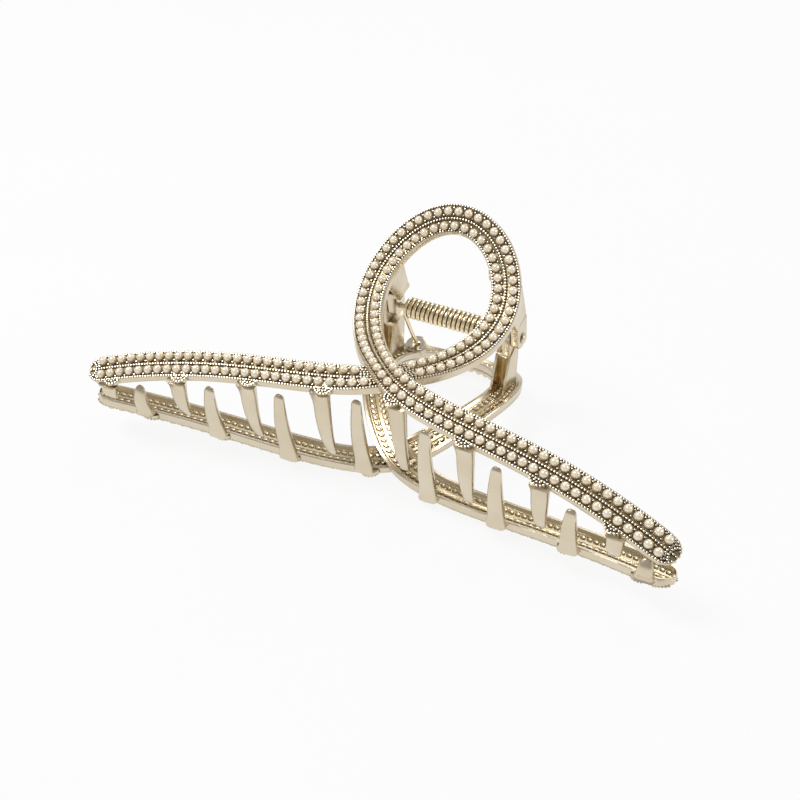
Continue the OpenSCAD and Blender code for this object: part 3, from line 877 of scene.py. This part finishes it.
def ears_mesh():
    bm = new_mesh()
    for x0, post_x in ((-EAR_X - EAR_T, -EAR_X - EAR_T - POST_OUT),
                       (OUTER_EAR_X, OUTER_EAR_X + EAR_T - POST_W)):
        eye_plate(bm, x0)
        post(bm, post_x)
    hole_r = WIRE_D / 2 + LUG_CLEARANCE
    ring_plate(bm, Matrix.Translation((COIL_HALF, LUG_Y, LUG_Z - LUG_T / 2)), LUG_R, hole_r, LUG_T)
    foot_w = 1.4 * LUG_R
    foot_l = 0.9 * LUG_R
    foot_top = face(COIL_HALF, LUG_Y - foot_l) - SEAT_T / 2
    foot_h = foot_top - LUG_Z + LUG_T / 2
    size = Matrix.Diagonal((foot_w, foot_l / 2, foot_h, 1))
    centre = (COIL_HALF, LUG_Y - 0.75 * foot_l, LUG_Z - LUG_T / 2 + foot_h / 2)
    block = bmesh.ops.create_cube(bm, size=1, matrix=Matrix.Translation(centre) @ size)["verts"]
    soften(bm, faces_at(block), CAST_ROUNDING)
    return bm


# ---- pearls
def region(p):
    """The name of the group that a pearl belongs to."""
    if math.hypot(p.x, p.y) < CROSSING_R:
        return "crossing"
    if p.y < 0:
        return "left_arm" if p.x < 0 else "right_arm"
    if p.y > LOOP_WIDE_Y + 0.45 * (LOOP_TOP_Y - LOOP_WIDE_Y):
        return "loop_tip"
    return "loop_left" if p.x < 0 else "loop_right"


def pearl_places():
    """Every pearl's centre and outward direction, by the name of its group."""
    covered = [s.at for s in upper if math.hypot(s.at.x, s.at.y) < CROSSING_R]
    groups = {}
    for stations, on_top in ((lower, False), (upper, True)):
        for row in (-1, 1):
            for station, along in spaced(stations, row * ROW_GAP / 2, PEARL_PITCH):
                at = station.at + row * ROW_GAP / 2 * station.across
                if abs(at.x) >= HALF_L - PEARL_R - BORDER_W - 2 * BORDER_GAP:
                    continue
                group = region(at)
                if group == "crossing" and not on_top:
                    if min((c - at).length for c in covered) <= HALF_W + PEARL_R + BORDER_GAP:
                        continue
                if group.endswith("arm"):
                    group += "_upper" if row > 0 else "_lower"
                out = along.cross(station.across).normalized()
                groups.setdefault(group, []).append((at + (GLUE_T + PEARL_SEAT) * out, out))
    return groups


def pearls_mesh(places):
    bm = new_mesh()
    for centre, out in places:
        bead(bm, centre, out, PEARL_R, PEARL_BEAD)
    return bm


# ---- pin and spring
def pin_mesh():
    bm = bmesh.new()
    head = HEAD_X + HEAD_T
    head_r = PIN_D / 2 + HEAD_LIP
    half = [(head, 0), (head - 0.02, 0.5), (head - 0.1, 0.85), (head - 0.26, 1.1),
            (head - 0.42, head_r), (head - HEAD_T, head_r), (head - HEAD_T, PIN_D / 2)]
    profile = half + [(-x, r) for x, r in reversed(half)]
    verts = [bm.verts.new((x, PIN_Y, r)) for x, r in profile]
    edges = [bm.edges.new(pair) for pair in zip(verts, verts[1:])]
    bmesh.ops.spin(bm, geom=verts + edges, axis=X, cent=(0, PIN_Y, 0), angle=2 * math.pi,
                   steps=28, use_merge=True)
    bmesh.ops.remove_doubles(bm, verts=list(bm.verts), dist=1e-4)
    bmesh.ops.recalc_face_normals(bm, faces=list(bm.faces))
    return bm


LEG_PAST_LUG = 0.4
WIRE_SIDES = 10
STEPS_IN_TURN = 24


def spring_mesh():
    """A front leg, the coil and a rear leg that is the front one turned half round the Y axis."""
    bm = new_mesh()
    centre = PIN_Y * Y
    out = Vector((0, math.cos(LEAVE), math.sin(LEAVE)))
    leg_tip = LEG_L + LUG_T / 2 + LEG_PAST_LUG
    front_leg = [
        Station(centre + COIL_HALF * X + COIL_R * out + k * leg_tip * LEG_DIR, -LEG_DIR, out, X)
        for k in (1, 0.8, 0.6, 0.4, 0.2, 0.05)]
    half_turn = Matrix.Rotation(math.pi, 3, "Y")

    def turned(v):
        return half_turn @ (v - centre) + centre

    rear_leg = [Station(turned(s.at), -(half_turn @ s.along), half_turn @ s.out, half_turn @ -s.across)
                for s in reversed(front_leg)]
    steps = math.ceil(COIL_ANGLE / (2 * math.pi) * STEPS_IN_TURN)
    coil = []
    for i in range(steps + 1):
        a = i * COIL_ANGLE / steps
        w = LEAVE + a
        out = Vector((0, math.cos(w), math.sin(w)))
        round_pin = 2 * math.pi * COIL_R * Vector((0, -math.sin(w), math.cos(w)))
        along = (-COIL_PITCH * X + round_pin).normalized()
        at = centre + (COIL_HALF - COIL_PITCH * a / (2 * math.pi)) * X + COIL_R * out
        coil.append(Station(at, along, out, out.cross(along)))
    corners = [i * 2 * math.pi / WIRE_SIDES for i in range(WIRE_SIDES)]
    wire = [(WIRE_D / 2 * math.sin(a), WIRE_D / 2 * math.cos(a)) for a in corners]
    sweep(bm, front_leg + coil + rear_leg, wire)
    return bm


PEARL_GROUPS = pearl_places()
for jaw, place in JAWS.items():
    body = jaw + "_jaw"
    finish_piece(ribbon_mesh(), jaw + "_ribbon", place, METALS, body, [body])
    finish_piece(teeth_mesh(), jaw + "_teeth", place, METALS, body, [body])
    finish_piece(ears_mesh(), jaw + "_hinge_ears", place, METALS, body, [body])
    for group, places in PEARL_GROUPS.items():
        finish_piece(pearls_mesh(places), f"{jaw}_{group}_set", place, [PEARL], body,
                     [f"{jaw}_{group}_pearls"])
finish_piece(pin_mesh(), "round_head_pin", FRONT, [CASTING], "rear_jaw", ["hinge_pin"])
spring = finish_piece(spring_mesh(), "coil_spring", FRONT, [WIRE], None,
                      ["torsion_spring"], sharp=math.radians(60))
# In metres: half the coil's length, less 0.4 mm at each end
spring_half = 0.001 * COIL_HALF - 0.0004
-spring_half
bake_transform(spring)


# ---- studio
def studio():
    scene = bpy.context.scene
    scene.view_settings.view_transform = "Standard"
    world = bpy.data.worlds.new("studio")
    scene.world = world
    world.use_nodes = True
    background = world.node_tree.nodes["Background"]
    background.inputs["Color"].default_value = (1, 0.99, 0.97, 1)
    background.inputs["Strength"].default_value = 0.4

    bm = bmesh.new()
    bmesh.ops.create_grid(bm, x_segments=1, y_segments=1, size=3)
    mesh = bpy.data.meshes.new("floor")
    bm.to_mesh(mesh)
    bm.free()
    floor = bpy.data.objects.new("floor", mesh)
    scene.collection.objects.link(floor)
    paper = Finish("white_paper", Roughness=0.9)
    paper.shader.inputs["Specular IOR Level"].default_value = 0.0
    paper.shader.inputs["Emission Color"].default_value = (1, 1, 1, 1)
    paper.shader.inputs["Emission Strength"].default_value = 0.9
    tone = paper.blend(paper.noise(20, 1), (0.055, 0.055, 0.055, 1), (0.06, 0.06, 0.06, 1))
    mesh.materials.append(paper.feed(Base_Color=tone))

    lights = (("key_softbox", (-0.35, -0.15, 0.65), 0.27, 5.0),
              ("side_softbox", (0.6, 0.1, 0.35), 0.3, 1.3),
              ("back_softbox", (0.0, 0.6, 0.5), 0.4, 1.6))
    for name, at, size, power in lights:
        lamp = bpy.data.lights.new(name, "AREA")
        lamp.shape = "SQUARE"
        lamp.size = size
        lamp.energy = power
        holder = bpy.data.objects.new(name, lamp)
        holder.location = at
        aim = Vector((0, 0, 0.02)) - Vector(at)
        holder.rotation_euler = aim.to_track_quat("-Z", "Y").to_euler()
        scene.collection.objects.link(holder)


def camera():
    azimuth = math.radians(24.63)
    elevation = math.radians(36.77)
    roll = math.radians(1.33)
    distance = 0.26775
    target = Vector((0.00014, -0.01124, 0.018))
    back = Vector((math.sin(azimuth) * math.cos(elevation), -math.cos(azimuth) * math.cos(elevation),
                   math.sin(elevation)))
    lens = bpy.data.cameras.new("view")
    lens.sensor_width = 36
    lens.lens = 57.80
    lens.clip_start = 0.01
    holder = bpy.data.objects.new("view", lens)
    holder.matrix_world = (Matrix.Translation(target + distance * back)
                           @ back.to_track_quat("Z", "Y").to_matrix().to_4x4()
                           @ Matrix.Rotation(roll, 4, "Z"))
    bpy.context.scene.collection.objects.link(holder)
    bpy.context.scene.camera = holder


studio()
camera()
